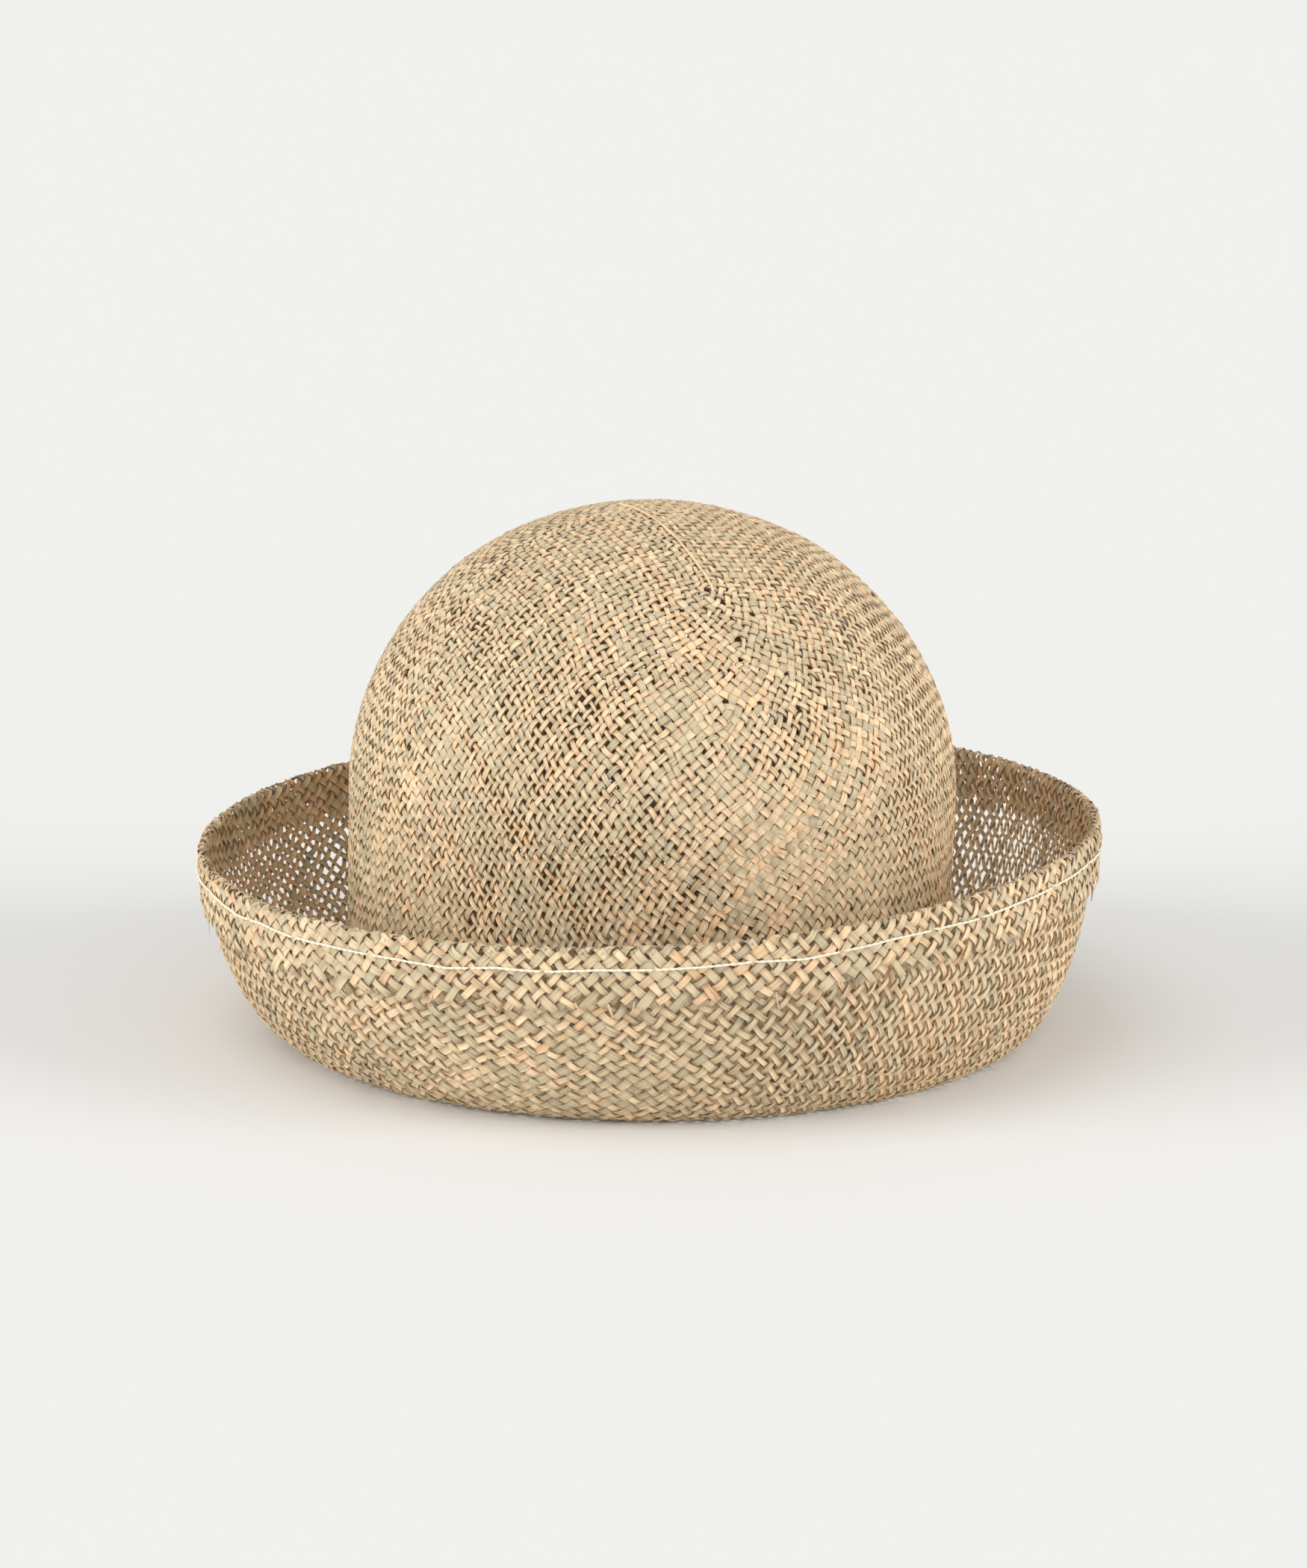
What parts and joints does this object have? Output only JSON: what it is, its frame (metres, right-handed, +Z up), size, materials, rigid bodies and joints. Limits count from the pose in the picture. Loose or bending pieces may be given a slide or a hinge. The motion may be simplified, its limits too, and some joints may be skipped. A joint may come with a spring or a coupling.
{
  "type": "seagrass hat",
  "caption": "Woven seagrass hat with a deep round crown and a brim turned up all round, its edge folded out and stitched.",
  "frame": {"origin": "centre of the bounding box, on the plane that the hat rests on", "axes": "+Z up through the crown's tip, -Y towards the front that faces the camera, +X to the right of the picture"},
  "size_m": [0.2642, 0.2788, 0.1538],
  "materials": {
    "seagrass": "matte, plaited flat seagrass in mixed straw and grey-green",
    "seagrass_hem": "matte, plaited flat seagrass, folded and stitched with cream thread"
  },
  "bodies": {
    "root": {"crown": "seagrass", "brim": "seagrass", "hem": "seagrass_hem"}
  },
  "joints": []
}
